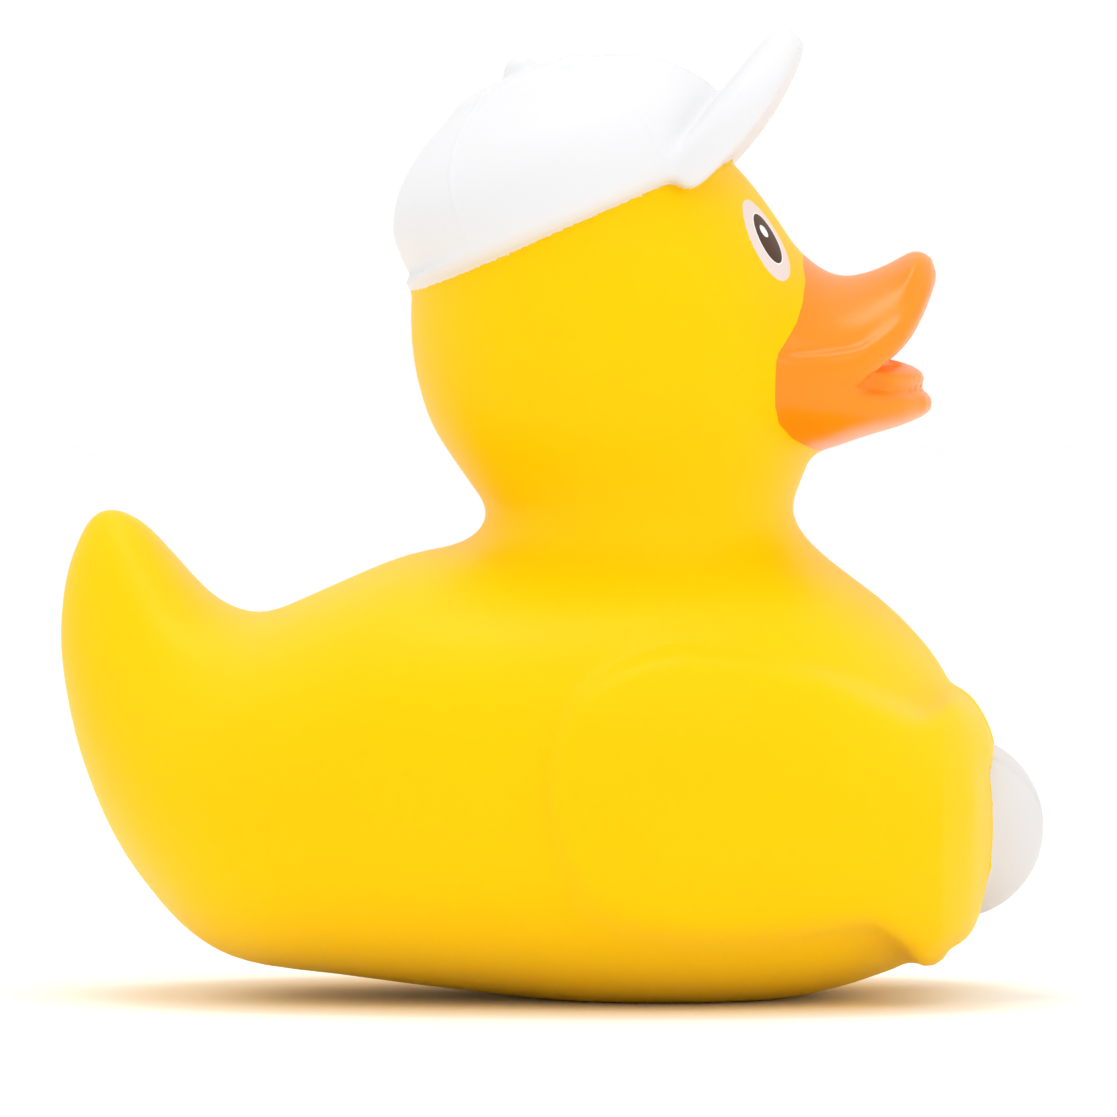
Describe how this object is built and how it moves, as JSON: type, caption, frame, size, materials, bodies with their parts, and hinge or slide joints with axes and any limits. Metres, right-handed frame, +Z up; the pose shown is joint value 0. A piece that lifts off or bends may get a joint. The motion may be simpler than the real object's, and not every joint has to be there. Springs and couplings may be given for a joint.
{
  "type": "rubber duck",
  "caption": "Hollow vinyl bath duck in a moulded cap, holding a ball between its wings, with a squeaker in its base.",
  "frame": {"origin": "centre of the bounding box, on the plane that the base rests on", "axes": "+X forward, the way the bill points; +Y to the duck's left; +Z up"},
  "size_m": [0.0906, 0.0678, 0.0892],
  "materials": {
    "vinyl": "soft satin rotocast PVC vinyl, yellow, with sprayed white cap and ball, orange bill and printed eyes",
    "squeaker": "natural moulded polyethylene",
    "reed": "thin polyester film"
  },
  "bodies": {
    "root": {"body": "vinyl", "squeaker_cup": "squeaker", "reed_block": "squeaker", "reed": "reed"}
  },
  "joints": []
}
